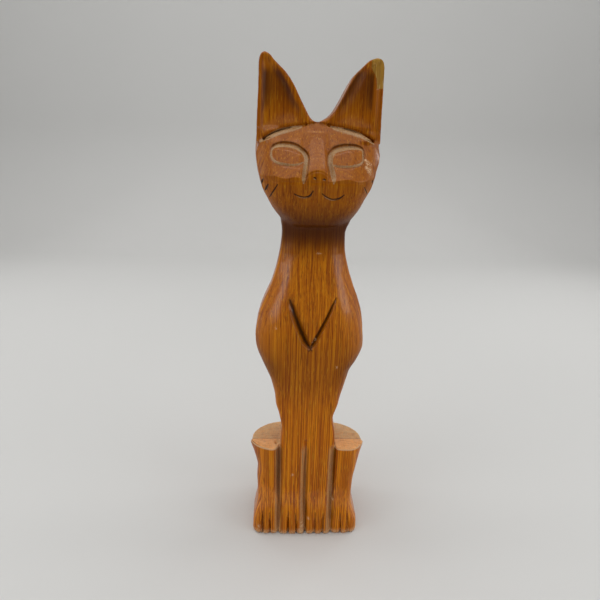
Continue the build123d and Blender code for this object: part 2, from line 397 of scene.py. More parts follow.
def sand(mesh, passes, amount):
    """Moves points towards their neighbours; amount is 0 to 1 for each point."""
    points, edges = points_of(mesh), edges_of(mesh)
    counts = np.bincount(edges.ravel(), minlength=len(points)).astype(float)
    for _ in range(passes):
        points += (neighbour_mean(points, edges, counts) - points) * amount[:, None]
    points[:, 2] = np.maximum(points[:, 2], 0)
    move_points(mesh, points)


def work_depth(mesh, where, passes, edge_rule, depth_rule):
    """Moves the points of a zone only forwards and back, by a rule for their own and the mean depth."""
    points, edges = points_of(mesh), edges_of(mesh)
    edges = edges[edge_rule(where[edges], axis=1)]
    counts = np.maximum(np.bincount(edges.ravel(), minlength=len(points)), 1).astype(float)
    depth = points[:, 1:2].copy()
    for _ in range(passes):
        mean = neighbour_mean(depth, edges, counts)
        depth[where] = depth_rule(depth, mean)[where]
    points[:, 1:2] = depth
    move_points(mesh, points)


def scoop(mesh, where, passes):
    """Wears a step inside a zone down to a shallow bowl."""
    work_depth(mesh, where, passes, np.any, lambda depth, mean: depth + 0.6 * (mean - depth))


def fill_cuts(mesh, where, passes):
    """Raises the bottoms of narrow cuts in the front until they are flush with their edges."""
    work_depth(mesh, where, passes, np.all, np.minimum)


print("sandpaper is ready")

# %% [markdown]
# ## Lines of the head
#
# Two lines shape the head: the V-shaped gap between the ears and the top edge of the brow. Each is
# a short table of places on one side, read with straight lines between them, and holds on both sides.
# A ray shot at the figure tells where the wood begins at any other place.

# %% Lines of the head
# height, and half the width of the gap between the ears there
gap_rows = [
    (241, 1), (245, 4.7), (249, 7.0), (252, 8.8), (256, 10.6), (259, 12.4), (262, 14.3), (266, 16.9),
    (268.5, 20), (270, 23), (271, 27),
]
# how far across, and how high the brow's top edge is there
brow_rows = [
    (0, 241.5), (3, 240.7), (7.5, 239.2), (11.5, 238.6), (16.3, 237.4), (20.8, 235.9), (24.6, 233.8),
    (29, 231.6),
]


def gap_half(height):
    """Half the width of the gap between the ears."""
    return np.interp(height, *np.array(gap_rows).T)


def brow_top(across):
    """The height of the brow's top edge."""
    return np.interp(np.abs(across), *np.array(brow_rows).T)


def front_at(across, levels, seen_from=-1):
    """Where the wood begins at one place across and some heights, from in front (-1) or behind (1)."""
    bpy.context.view_layer.update()
    found = []
    for level in levels:
        start = Vector((across, 60 * seen_from, level)) * MM
        hit, place, *_ = blank.ray_cast(start, Vector((0, -seen_from, 0)))
        found.append(place.y / MM if hit else np.nan)
    return np.array(found)


print("half the gap at 250 mm:", round(float(gap_half(250)), 1))

# %% [markdown]
# ## The crown and the ears' hollows
#
# The back of the head rolls over into the backs of the ears, and each ear's front is hollowed into
# a shallow bowl that runs out at its rims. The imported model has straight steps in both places. The
# crown is cut down to a curve, and the floor of each hollow is laid parallel to the rim beside it.

# %% Crown and ears
CROWN_LOW, CROWN_HIGH, CROWN_ACROSS, CROWN_BEND = 220.0, 238.0, 15.0, 2.2
EAR_DEPTH, RIM_ACROSS, RIM_OUTSIDE = 1.7, 28.4, 29.3
rim_levels = np.arange(242, 264, 2.0)


def round_crown(mesh):
    """Rounds the back of the head over to the feet of the ears."""
    head_back, ear_back = front_at(CROWN_ACROSS, [CROWN_LOW + 2, CROWN_HIGH + 6], seen_from=1)
    points = points_of(mesh)
    x, y, z = points.T
    share = np.clip((z - CROWN_LOW) / (CROWN_HIGH - CROWN_LOW), 0, 1)
    limit = ear_back + (head_back - ear_back) * (1 - share**CROWN_BEND)
    points[:, 1] = np.where(within(CROWN_LOW, z, CROWN_HIGH + 4), np.minimum(y, limit), y)
    move_points(mesh, points)


def hollow_ears(mesh, where):
    """Turns the ears' straight-walled recesses into shallow bowls that run out at their rims."""
    lean, root = np.polyfit(rim_levels, front_at(RIM_ACROSS, rim_levels), 1)
    points = points_of(mesh)
    x, y, z = points.T
    from_gap = np.abs(x) - gap_half(z + 1.0)
    from_rim = np.minimum(from_gap, 1.6 * (RIM_OUTSIDE - np.abs(x)))
    bowl = EAR_DEPTH * ramp(0.8, 6.5, from_rim) * ramp(0, 9, z - brow_top(x))
    points[:, 1] = np.where(where, root + lean * z + bowl, y)
    move_points(mesh, points)


round_crown(blank.data)
print("the crown is round from", CROWN_LOW, "to", CROWN_HIGH, "mm")

# %% [markdown]
# ## Sanding the blank
#
# First the blank's own straight cuts in the face and the chest are filled. Then each place is sanded
# as hard as the carver did: only the crease under the brow keeps its edge, while the long body, the
# crown and the tops of the haunches are made round. The ears' hollows and the chin are smoothed last.

# %% Sanding the blank
FACE_LOW, FACE_HIGH, FACE_SIDE = 204.0, 242.0, 30.0
OLD_CREASE, OLD_V_FOOT, OLD_V_RISE, OLD_V_HALF = 215.0, 130.0, 26.0, 11.6

points, facing = points_of(blank.data), normals_of(blank.data)
x, y, z = points.T
across = np.abs(x)
forward = facing[:, 1] < -0.25
on_face = forward & within(FACE_LOW, z, 237.5) & (y < -4)
from_arm = np.abs(across - OLD_V_HALF * (z - OLD_V_FOOT) / OLD_V_RISE)
on_chest = forward & within(OLD_V_FOOT - 3, z, OLD_V_FOOT + OLD_V_RISE + 0.6) & (from_arm < 3.0)
crease = forward & (np.abs(z - OLD_CREASE) < 1.6) & (across < 24)
crown = within(218, z, 244) & (y > 2) & (facing[:, 1] > 0.05)
body = ramp(76, 84, z) * (1 - ramp(196, 203, z)) * (1 - ramp(0.5, 0.8, facing[:, 2]))
haunch = within(54, z, 70) & (across > 16.5)
in_hollow = within(gap_half(z + 1.0) + 0.5, across, 28.8) & within(brow_top(x) + 0.5, z, 269.3)
in_hollow &= within(-5.9, y, 5)
chin = forward & within(194, z, 210.5) & (y < -8)
around_v = forward & (across < 17) & within(124, z, 166) & (y < -12)

fill_cuts(blank.data, on_face | on_chest, 90)
sand(blank.data, 4, np.where(crease, 0.05, 0.5))
for passes, zone in ((60, crown), (45, body), (6, haunch)):
    sand(blank.data, passes, 0.5 * zone)
hollow_ears(blank.data, in_hollow)
sand(blank.data, 12, 0.5 * in_hollow)
scoop(blank.data, chin, 70)
sand(blank.data, 14, 0.5 * around_v)
print("sanded in the ears' hollows:", int(in_hollow.sum()), "points")

# %% [markdown]
# ## The even skin is finer on the face
#
# The mouth and the whiskers are scratches half a millimetre wide. Where they go, and round the V in
# the chest, each small square of the skin is divided into four before anything is cut.

# %% Finer squares where the knife works
CHEST_LOW, CHEST_HIGH, CHEST_SIDE = 126.0, 159.0, 15.0


def refine(mesh, zones):
    """Divides the squares that face forwards inside the zones, given as (lowest, highest, side) in mm."""
    skin = bmesh.new()
    skin.from_mesh(mesh)
    chosen = set()
    for face in skin.faces:
        place = face.calc_center_median() / MM
        if face.normal.y > -0.2 or place.y > 0:
            continue
        if any(low < place.z < high and abs(place.x) < side for low, high, side in zones):
            chosen.update(face.edges)
    bmesh.ops.subdivide_edges(skin, edges=list(chosen), cuts=1, use_grid_fill=True)
    skin.to_mesh(mesh)
    skin.free()
    mesh.update()


refine(blank.data, [(FACE_LOW, FACE_HIGH, FACE_SIDE), (CHEST_LOW, CHEST_HIGH, CHEST_SIDE)])
print("after sanding and refining:", len(blank.data.vertices), "points")

# %% [markdown]
# ## The big forms of the face
#
# The lower face is the upright front of the blank. Above a wavy crease the brow is one flat slope that
# leans back to the ears, and the nose is left standing between the eyes, with a steeper bridge. Points
# on the front are simply moved back or forth until they lie on these slopes.

# %% Slopes of the face
# the brow is a slope that starts at this height on the upright front and leans back
FACE_FRONT, BROW_FOOT, BROW_SLOPE = -22.3, 216.6, 0.763
NOSE_TOP, NOSE_HALF, NOSE_MIDDLE, BRIDGE_SLOPE = 220.6, 5.3, -0.3, 0.98


def brow_foot(x):
    """The height of the wavy crease under the brow; it droops beside the nose."""
    droop = np.exp(-((np.abs(x - NOSE_MIDDLE) - 6.2) / 1.6) ** 2)
    return BROW_FOOT + 0.5 * np.sin(x / 1.9 + 0.4) * ramp(6, 9, np.abs(x)) - 0.9 * droop - 0.03 * x


def face_depth(x, z):
    """Where the front of the face lies, without the rounding of its sides."""
    brow = FACE_FRONT + BROW_SLOPE * np.maximum(z - brow_foot(x), 0)
    across = (x - NOSE_MIDDLE) / (NOSE_HALF + 0.5)
    top = NOSE_TOP - 2.7 * across**2
    bridge = FACE_FRONT - 0.35 * ramp(210, 214, z) + BRIDGE_SLOPE * np.maximum(z - top, 0)
    half = NOSE_HALF - 1.6 * ramp(218, 236, z)
    on_nose = 1 - ramp(half - 0.6, half + 0.4, np.abs(x - NOSE_MIDDLE))
    return brow + (np.minimum(brow, bridge) - brow) * on_nose * ramp(209, 212, z)


beside, bridge = face_depth(np.array([12.0, 0.0]), NOSE_TOP)
print("the top of the nose stands out by, mm:", round(float(beside - bridge), 2))

# %% [markdown]
# ## Moving the front onto the slopes
#
# Each point on the front moves by the difference between the new slope and the blank's old one, so
# the rounding of the sides stays. Higher up, the blank had a step under the ears; there the new slope
# simply takes its place, up to the brow's curved edge and the bottom of the gap.

# %% Forming the face
OLD_FRONT, OLD_SLOPE = -22.0, 0.7


def form_face(mesh):
    """Moves the front of the head onto the slopes of the face."""
    points, facing = points_of(mesh), normals_of(mesh)
    x, y, z = points.T
    old = OLD_FRONT + OLD_SLOPE * np.maximum(z - OLD_CREASE, 0)
    share = ramp(0.15, 0.45, -facing[:, 1]) * ramp(206, 210, z) * (1 - ramp(238, 239.2, z))
    share[y > -3.5] = 0
    points[:, 1] += (face_depth(x, z) - old) * share
    slope = FACE_FRONT + BROW_SLOPE * (z - BROW_FOOT)
    centre = (1 - ramp(6, 12, np.abs(x))) * ramp(235.5, 238, z) * (facing[:, 1] < -0.1)
    above_eyes = ramp(231, 234.5, z) * ramp(5, 8, np.abs(x)) * (1 - ramp(23.0, 27.0, np.abs(x))) * (y < 1)
    points[:, 1] += (slope - y) * np.maximum(centre, above_eyes) * (1 - ramp(0, 0.7, z - brow_top(x)))
    move_points(mesh, points)


form_face(blank.data)
points, facing = points_of(blank.data), normals_of(blank.data)
x, y, z = points.T
between_ears = (np.abs(x) < 13) & (np.abs(z - 237.5) < 3.5) & (facing[:, 1] < -0.2)
ear_feet = (np.abs(x) < 28) & (z - brow_top(x) > 1.2) & (z < 247) & (y < 0)
sand(blank.data, 22, 0.5 * (between_ears | ear_feet))
print("sanded above the brow:", int((between_ears | ear_feet).sum()), "points")

# %% [markdown]
# ## Hands aren't machines
#
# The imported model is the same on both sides. The real carver's left and right differ by a millimetre
# or two here and there. The sides are moved to where the carver left them before anything is cut into
# them. The two tables meet under the belly, where the haunches' sawn tops stand out from the body.

# %% The carver's own outline
# height, then how far the carver's outline stands outside (+) or inside (-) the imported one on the
# cat's right and left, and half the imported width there
own_outline = [
    (271, 0.0, 1.2, 29), (245, -0.3, 1.4, 29), (225, 0.0, 1.7, 29.7), (219, -0.5, 0.1, 29.5),
    (211, -1.7, -1.3, 28), (206, -1.9, -1.5, 26), (198, 0.1, 1.6, 20), (195, 0.8, 2.5, 18),
    (190, 0.0, 0.0, 16.6), (178, -0.2, -0.9, 17.6), (160, -1.2, -1.0, 23.3), (148, 0.0, -0.6, 27.5),
    (134, 0.4, -1.1, 30), (124, 0.7, 0.1, 30.2), (118, -0.3, -1.2, 29), (113, -0.8, -3.2, 27.5),
    (107, -1.3, -2.4, 25), (98, 0.1, -1.2, 22), (91, 2.1, -0.2, 19.7), (83, 1.0, -1.6, 17),
    (75, -0.3, 0.2, 16), (66, 0.0, 0.6, 16),
]
haunch_outline = [
    (66, 1.6, 2.9, 32.9), (56, 1.0, 1.6, 32.9), (50, 0.7, 1.6, 32.9), (44, 1.0, 1.8, 31.5),
    (38, 1.9, 0.8, 30.5), (24, -0.3, -1.9, 29.5), (17, 0.1, -1.0, 30), (10, 1.2, 1.0, 31),
    (0, 2.2, 2.2, 31.5),
]
HAUNCH_FROM, OUTLINE_STEP = 64, 0.5


def trim_outline(mesh):
    """Moves the sides to the carver's own outline; the middle of the figure hardly moves."""
    points = points_of(mesh)
    x, y, z = points.T
    for rows, zone in ((own_outline, z >= HAUNCH_FROM), (haunch_outline, z < HAUNCH_FROM)):
        level, right, left, half = np.array(rows[::-1], float).T
        grid = np.arange(level[0], level[-1] + OUTLINE_STEP, OUTLINE_STEP)
        # a running mean rounds the corners between the rows
        right, left = (
            np.convolve(np.pad(np.interp(grid, level, side), 4, "edge"), np.ones(9) / 9, "valid")
            for side in (right, left)
        )
        out = np.where(x < 0, np.interp(z, grid, right), np.interp(z, grid, left))
        share = ramp(0.25, 1.0, np.abs(x) / np.interp(z, level, half))
        points[:, 0] += np.where(zone, np.sign(x) * out * share, 0)
    # the cat's left ear starts further out from the gap; its right ear is narrower at the tip
    on_ear = ramp(240, 247, z) * ramp(1.5, 4, x) * (1 - ramp(13, 27, x))
    points[:, 0] += (2.6 - 1.5 * ramp(256, 268, z)) * on_ear
    at_tip = ramp(254, 268, z) * ramp(6, 12, -x) * (1 - ramp(19, 30, -x))
    points[:, 0] -= 2.3 * at_tip
    move_points(mesh, points)


trim_outline(blank.data)
print("outline trimmed at", len(own_outline) + len(haunch_outline), "heights")

# %% [markdown]
# ## Legs, shoulders and toes
#
# On the real cat the ears lean, each leg is rounder on one side than on the other, the chest and the
# haunches roll off towards the sides, and the toes are worn where they stand. Each helper below shapes
# one of these on the same array of points, and the mesh is written once at the end.

# %% Rounding by hand
# where a groove runs between two legs, how far the legs are rounded off beside it and how deep: first
# the leg on its low side, then the one on its high side; last, the height at which this ends
leg_grooves = [
    (-16.0, 3.6, 1.8, 1.2, 0.5, 66), (-0.6, 2.2, 1.2, 1.0, 0.5, 70), (15.7, 2.8, 1.5, 1.6, 0.9, 66),
]
leg_levels = np.arange(1.0, 68.0, 3.0)
BESIDE_GROOVE = 5.0
TOE_ROUND = 2.2


def lean_ears(points):
    """Leans the right ear inwards and makes it the taller one."""
    x, y, z = points.T
    right_ear = ramp(236, 271, z) * ramp(8, 20, -x)
    points[:, 0] += 1.3 * right_ear
    points[:, 2] += 0.5 * right_ear - 0.9 * ramp(252, 271, z) * ramp(8, 20, x)


def shift_grooves(points):
    """Moves the grooves between the legs to the carver's places; the paws swell above the toes."""
    x, y, z = points.T
    low = ramp(14, 30, z) * (1 - ramp(50, 75, z))
    points[:, 0] -= 0.9 * np.exp(-((x / 7) ** 2)) * low
    points[:, 0] -= 0.7 * np.exp(-(((x + 15.7) / 4) ** 2)) * (1 - ramp(30, 75, z))
    points[:, 1] -= 0.5 * np.exp(-(((z - 22) / 7) ** 2)) * ramp(8, 14, -y)


def round_legs(points):
    """Rounds each leg off towards its grooves, more on its left side than on its right."""
    x, y, z = points.T
    upright = ramp(8, 14, -y) * ramp(2, 16, z)
    for groove, low_side, low_depth, high_side, high_depth, top in leg_grooves:
        left_of = np.clip(1 - (groove - 0.5 - x) / low_side, 0, 1) * (x < groove)
        right_of = np.clip(1 - (x - groove - 0.5) / high_side, 0, 1) * (x > groove)
        rounding = low_depth * left_of**1.4 + high_depth * right_of**1.4
        points[:, 1] += rounding * upright * (1 - ramp(top - 3, top, z))


def slant_grooves(points):
    """Fills each groove up to a slant that rises towards its low side, as a knife leaves it."""
    x, y, z = points.T
    for groove, *_, top in leg_grooves:
        leg_front = np.interp(z, leg_levels, front_at(groove - BESIDE_GROOVE, leg_levels))
        slant = leg_front + 0.9 + 0.8 * (x - groove + 2.8)
        filled = within(groove - 2.8, x, groove + 0.9) & (y < -8) & (z < top) & (y > slant)
        points[:, 1] = np.where(filled, y + (slant - y) * (1 - ramp(top - 6, top, z)) * 0.9, y)


def round_body(points):
    """Rounds the chest, the shoulders and the fronts of the haunches."""
    x, y, z = points.T
    levels, halves = np.array([(row[0], row[3]) for row in own_outline[::-1]], float).T
    share = np.abs(x) / np.interp(z, levels, halves)
    rounder = ramp(0.3, 0.95, share) * ramp(7, 15, -y) * ramp(104, 128, z) * (1 - ramp(192, 203, z))
    points[:, 1] += 2.6 * rounder
    haunch = ramp(15.9, 16.4, np.abs(x)) * ramp(7, 13, -y) * ramp(18, 44, z) * (z < 72)
    outer_right = 4.6 * np.clip((-x - 19.5) / 12.5, 0, 1) ** 1.3
    outer_left = 3.2 * np.clip((x - 24.5) / 8, 0, 1) ** 2
    inner = np.where(x < 0, 2.4, 1.4) * np.clip((21.0 - np.abs(x)) / 5, 0, 1) ** 1.3
    points[:, 1] += (np.where(x < 0, outer_right, outer_left) + inner) * haunch


def wear_toes(points):
    """Wears the toes and the outer edges round where they stand."""
    x, y, z = points.T
    foot = np.clip(1 - z / TOE_ROUND, 0, 1) ** 2
    points[:, 1] += 0.9 * foot * ramp(14, 20, -y)
    points[:, 0] -= np.sign(x) * 0.5 * foot * ramp(27, 31, np.abs(x))


points = points_of(blank.data)
for shape in (lean_ears, shift_grooves, round_legs, slant_grooves, round_body, wear_toes):
    shape(points)
move_points(blank.data, points)
x, y, z = points_of(blank.data).T
sand(blank.data, 5, 0.5 * ((z < 72) & (y < -7) & (np.abs(x) < 21)))
sand(blank.data, 15, 0.5 * ((z > 261) & (x < 0)))
print("the tallest point, mm:", round(float(z.max()), 1))

# %% [markdown]
# ## Cuts with a gouge and a knife
#
# A cut is a line of knots on the front of the cat: how far across, how high, half
# the width of the cut and its depth. A smooth curve is drawn through them and dropped onto the wood,
# and every point near the curve goes in along its own normal. The bottom of a cut may lie nearer to
# one side, as when the gouge is held over at an angle.

# %% Paths on the wood
PATH_STEP = 0.25


def smooth_path(knots):
    """A curve through the knots, a quarter of a millimetre from point to point."""
    knots = np.array(knots, float)
    reached = np.vstack([2 * knots[0] - knots[1], knots, 2 * knots[-1] - knots[-2]])
    runs = []
    for before, start, end, after in zip(reached, reached[1:], reached[2:], reached[3:]):
        count = max(int(np.hypot(*(end - start)[:2]) / PATH_STEP), 2)
        t = np.arange(count)[:, None] / count
        bend = (2 * before - 5 * start + 4 * end - after) * t**2
        twist = (3 * start - before - 3 * end + after) * t**3
        runs.append((2 * start + (end - before) * t + bend + twist) / 2)
    return np.vstack(runs + [knots[-1:]])


def dropped(knots):
    """The smooth curve laid on the wood: x, y, z, half width and depth at each of its points."""
    rows = []
    for x, z, half, depth in smooth_path(knots):
        hit, place, *_ = blank.ray_cast(Vector((x, -60, z)) * MM, Vector((0, 1, 0)))
        if hit:
            rows.append((x, place.y / MM, z, max(half, 0.05), max(depth, 0)))
    return np.array(rows)


print("points on a path of 10 mm:", len(smooth_path([(0, 0, 1, 1), (10, 0, 1, 1)])))

# %% Taking the cuts out
def across_cut(points, path, parts=(0, 1, 2)):
    """For the points near a path: their numbers, where they lie across it (-1 to 1), and its depth."""
    parts = list(parts)
    room = np.array([1, 4, 1]) * (path[:, 3].max() * 1.3 + 0.3)
    low, high = path[:, :3].min(axis=0) - room, path[:, :3].max(axis=0) + room
    near = np.flatnonzero(((points > low) & (points < high)).all(axis=1))
    gap = np.linalg.norm(points[near, None][:, :, parts] - path[None, :, parts], axis=2)
    closest = gap.argmin(axis=1)
    distance = gap[np.arange(len(near)), closest]
    heading = np.gradient(path[:, [0, 2]], axis=0)[closest]
    offset = points[near][:, [0, 2]] - path[closest][:, [0, 2]]
    side = np.sign(heading[:, 0] * offset[:, 1] - heading[:, 1] * offset[:, 0])
    return near, side * distance / path[closest, 3], path[closest, 4]


def cut_share(across, lean):
    """How far down the walls of the cut a point lies: 0 at the edges, 1 at the bottom."""
    walls = np.minimum((across + 1) / (1 + lean), (1 - across) / (1 - lean))
    return np.clip(walls, 0, 1)


def carve(mesh, cuts):
    """Takes all the cuts out of the mesh at once; where two cross, the deeper one counts."""
    points, facing = points_of(mesh), normals_of(mesh)
    taken = np.zeros(len(points))
    for path, lean, roundness in cuts:
        near, across, depth = across_cut(points, path)
        share = cut_share(across, lean) ** roundness
        taken[near] = np.maximum(taken[near], share * depth)
    points -= facing * taken[:, None]
    move_points(mesh, points)
    return taken


print("half way to the edge a cut is this share of its depth:", cut_share(np.array([0.5]), 0.0)[0])

# %% [markdown]
# ## The face's cuts
#
# Each closed eye is a lid left standing inside a gouged line. The line is widest over the lid and beside
# the nose, where it runs on down the cheek, and thin underneath. Smile and whiskers are knife
# scratches.

# %% Knots of the face: across, up, half width, depth, all in millimetres
left_eye = [
    (-22.2, 226.9, 0.55, 0.4), (-21.9, 229.0, 0.7, 0.6), (-20.3, 230.6, 1.0, 0.9), (-17.2, 231.4, 1.3, 1.1),
    (-13.0, 231.3, 1.35, 1.2), (-9.3, 230.2, 1.3, 1.2), (-6.5, 228.1, 1.25, 1.1), (-5.1, 225.3, 1.2, 1.0),
    (-5.4, 221.9, 1.2, 1.0), (-6.0, 218.7, 1.2, 0.9), (-6.4, 216.2, 1.0, 0.5), (-6.5, 214.6, 0.4, 0.1),
]
left_lid = [
    (-22.2, 226.9, 0.55, 0.4), (-21.6, 224.9, 0.65, 0.5), (-19.7, 223.3, 0.7, 0.55),
    (-15.8, 222.4, 0.7, 0.55), (-11.9, 222.2, 0.6, 0.45), (-8.9, 222.7, 0.5, 0.3), (-6.8, 223.5, 0.3, 0.1),
]
right_eye = [
    (21.9, 227.0, 0.5, 0.4), (21.8, 229.3, 0.6, 0.5), (20.2, 230.5, 1.0, 0.9), (16.2, 231.0, 1.4, 1.2),
    (12.2, 230.7, 1.6, 1.3), (8.3, 229.5, 1.6, 1.3), (6.2, 227.3, 1.5, 1.2), (5.6, 224.0, 1.4, 1.1),
    (6.2, 221.0, 1.4, 1.1), (6.9, 218.0, 1.4, 0.8), (7.2, 215.9, 1.0, 0.3), (7.3, 214.8, 0.4, 0.1),
]
right_lid = [
    (21.9, 227.0, 0.5, 0.4), (21.8, 225.2, 0.55, 0.45), (21.1, 223.7, 0.6, 0.5), (19.2, 222.7, 0.65, 0.5),
    (15.2, 222.0, 0.65, 0.5), (11.2, 221.9, 0.6, 0.4), (8.0, 222.2, 0.5, 0.3), (6.8, 222.6, 0.3, 0.1),
]
left_smile = [
    (-10.8, 209.6, 0.25, 0.1), (-8.7, 208.5, 0.45, 0.45), (-5.9, 208.0, 0.5, 0.6),
    (-3.4, 209.0, 0.45, 0.5), (-2.1, 211.2, 0.25, 0.15),
]
right_smile = [
    (2.2, 210.0, 0.25, 0.15), (4.4, 208.2, 0.5, 0.5), (7.3, 207.2, 0.5, 0.6),
    (10.4, 207.9, 0.45, 0.5), (12.6, 209.6, 0.25, 0.1),
]
whiskers = [
    [(-25.7, 215.6, 0.3, 0.2), (-26.2, 214.4, 0.45, 0.5), (-26.6, 213.2, 0.3, 0.3)],
    [(-23.2, 213.4, 0.3, 0.2), (-24.0, 211.8, 0.5, 0.6), (-24.7, 210.4, 0.3, 0.3)],
    [(-18.7, 213.7, 0.25, 0.1), (-20.6, 210.6, 0.35, 0.3), (-22.5, 207.3, 0.25, 0.1)],
    [(26.8, 216.8, 0.3, 0.2), (26.7, 215.4, 0.45, 0.5), (26.5, 214.2, 0.3, 0.2)],
    [(22.2, 213.0, 0.25, 0.1), (23.4, 211.2, 0.4, 0.3), (24.6, 209.4, 0.3, 0.2)],
]
nose_lines = [
    [(-4.6, 215.6, 0.25, 0.05), (-4.5, 213.4, 0.35, 0.2), (-4.3, 211.6, 0.25, 0.1)],
    [(2.3, 214.5, 0.25, 0.05), (2.2, 212.0, 0.3, 0.2), (2.0, 210.2, 0.25, 0.2)],
]
nostrils = [
    [(-1.8, 217.1, 0.5, 0.5), (-1.5, 217.0, 0.65, 0.9), (-1.2, 216.8, 0.5, 0.5)],
    [(2.5, 216.5, 0.4, 0.3), (2.9, 216.5, 0.55, 0.6), (3.3, 216.4, 0.4, 0.3)],
]
brow_ledges = [
    [(-27.6, 232.2, 0.5, 0.05), (-23.9, 234.1, 1.0, 0.2), (-20.2, 235.9, 1.3, 0.25),
     (-16.6, 237.2, 1.3, 0.25), (-11.2, 238.5, 1.0, 0.2), (-7.8, 239.3, 0.5, 0.05)],
    [(27.2, 232.4, 0.4, 0.05), (23.8, 234.4, 0.8, 0.15), (20.5, 236.1, 1.1, 0.25),
     (15.8, 237.5, 1.2, 0.25), (9.6, 238.7, 0.9, 0.2), (6.6, 239.5, 0.4, 0.05)],
]
print("knots round the eyes:", len(left_eye + left_lid + right_eye + right_lid))

# %% Knots of the chest and the toes
left_arm = [
    (-11.9, 155.2, 1.0, 0.3), (-10.9, 152.2, 1.5, 1.3), (-8.9, 146.4, 1.9, 2.2), (-6.2, 139.6, 2.1, 2.6),
    (-3.4, 133.2, 1.9, 2.6), (-0.9, 129.4, 1.1, 0.8), (0.0, 128.2, 0.6, 0.2),
]
right_arm = [
    (12.1, 156.6, 0.4, 0.3), (10.7, 153.2, 0.8, 1.3), (8.2, 147.4, 1.0, 1.8), (4.9, 140.2, 1.1, 2.0),
    (1.6, 133.2, 1.3, 2.2), (-0.4, 129.4, 0.9, 0.8), (-1.2, 128.0, 0.5, 0.2),
]
# where the knife went in again between the toes
toe_cuts = [
    [(-26.3, 18.6, 0.35, 0.2), (-26.4, 14.0, 0.6, 1.1), (-26.5, 5.4, 0.75, 1.9), (-26.5, 0.5, 0.8, 2.0)],
    [(-22.2, 17.6, 0.3, 0.1), (-22.0, 13.5, 0.45, 0.6), (-21.8, 5.4, 0.55, 1.2), (-21.7, 0.5, 0.6, 1.4)],
    [(-10.5, 18.6, 0.3, 0.1), (-10.6, 14.0, 0.45, 0.6), (-10.6, 7.4, 0.55, 1.1), (-10.6, 0.5, 0.6, 1.4)],
    [(-6.4, 17.9, 0.3, 0.1), (-6.0, 13.5, 0.45, 0.6), (-5.6, 7.4, 0.55, 1.1), (-5.5, 0.5, 0.6, 1.4)],
    [(6.1, 17.9, 0.3, 0.1), (6.1, 14.0, 0.45, 0.6), (6.2, 7.4, 0.55, 1.1), (6.2, 0.5, 0.6, 1.4)],
    [(10.8, 17.2, 0.3, 0.1), (11.0, 13.0, 0.45, 0.6), (11.2, 7.4, 0.55, 1.1), (11.2, 0.5, 0.6, 1.4)],
    [(21.5, 17.4, 0.3, 0.1), (21.8, 13.0, 0.45, 0.6), (22.2, 5.4, 0.55, 1.2), (22.3, 0.5, 0.6, 1.4)],
    [(25.9, 16.6, 0.3, 0.1), (26.2, 12.5, 0.45, 0.6), (26.6, 5.2, 0.55, 1.2), (26.7, 0.5, 0.6, 1.4)],
]
print("cuts between the toes:", len(toe_cuts))

# %% Carving
SLANT = 0.45
bpy.context.view_layer.update()
# the lid lies on the right (-1) or the left (1) of each line as it is drawn
eye_lines = ((left_eye, -1), (left_lid, 1), (right_eye, 1), (right_lid, -1))
gouged = [(dropped(knots), lid_side) for knots, lid_side in eye_lines]
ledges = [dropped(knots) for knots in brow_ledges]
scratched = [dropped(knots) for knots in (left_smile, right_smile, *whiskers, *nostrils)]
faint = [dropped(knots) for knots in nose_lines]
chest_arms = [dropped(left_arm), dropped(right_arm)]
kerfs = [dropped(knots) for knots in toe_cuts]
# each cut: its path, how far its bottom lies to one side, and how near it comes to a sharp V (1)
cuts = [(path, -SLANT * lid_side, 0.8) for path, lid_side in gouged]
cuts += [(path, 0.0, 0.9) for path in ledges]
cuts += [(path, 0.0, 0.8) for path in scratched + faint + kerfs]
cuts += [(chest_arms[0], 0.2, 0.6), (chest_arms[1], -0.35, 0.6)]
taken = carve(blank.data, cuts)
print("deepest cut, mm:", round(float(taken.max()), 2))

# %% [markdown]
# ## Waves left by the sandpaper
#
# No flat stays quite flat under sandpaper. A slow wave in the surface, a sixth of a millimetre deep,
# makes the varnish's reflections wander as they do on a hand-sanded thing.

# %% Waves in the surface
WAVE_LENGTH, WAVE_DEPTH = 9.0, 0.16
RIPPLE_LENGTH, RIPPLE_DEPTH = 2.6, 0.05


def wave(mesh):
    """Moves each point in or out by slow smooth noise; the sole stays flat."""
    points, facing = points_of(mesh), normals_of(mesh)
    rise = np.array([
        noise.noise(Vector(point) / WAVE_LENGTH) * WAVE_DEPTH
        + noise.noise(Vector(point) / RIPPLE_LENGTH) * RIPPLE_DEPTH
        for point in points
    ])
    rise *= ramp(0.2, 3.0, points[:, 2])
    move_points(mesh, points + facing * rise[:, None])


wave(blank.data)
sand(blank.data, 1, np.full(len(blank.data.vertices), 0.5))
blank.data.shade_smooth()
print("carved figure:", len(blank.data.vertices), "points")

# %% [markdown]
# ## Parting the pieces again
#
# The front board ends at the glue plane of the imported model, and the repaired ear tip at its own
# straight foot and curved side. Solid cutters part the carved figure there, so the pieces meet face
# to face. Two cuts in a row leave a mesh's points in another order each time, so these are sorted, and
# the result is the same on every run. Each piece is then thinned to what its shape needs, and its
# sharp corners are marked.

# %% Cutters
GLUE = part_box("front_board")[1].y
PATCH_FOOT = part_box("ear_tip_patch")[0].z
PATCH_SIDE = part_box("ear_tip_patch")[0].x
PATCH_TALL, PATCH_OUT, BLOCK_FRONT, BLOCK_DEEP = 20, 40, -20, 60


def front_block():
    """A block that holds everything in front of the glue."""
    block = bmesh.new()
    bmesh.ops.create_cube(block, size=1)
    bmesh.ops.translate(block, vec=(0, -0.5, 0.4), verts=block.verts)
    bmesh.ops.translate(block, vec=(0, GLUE, 0), verts=block.verts)
    return add_object("front_block", block)


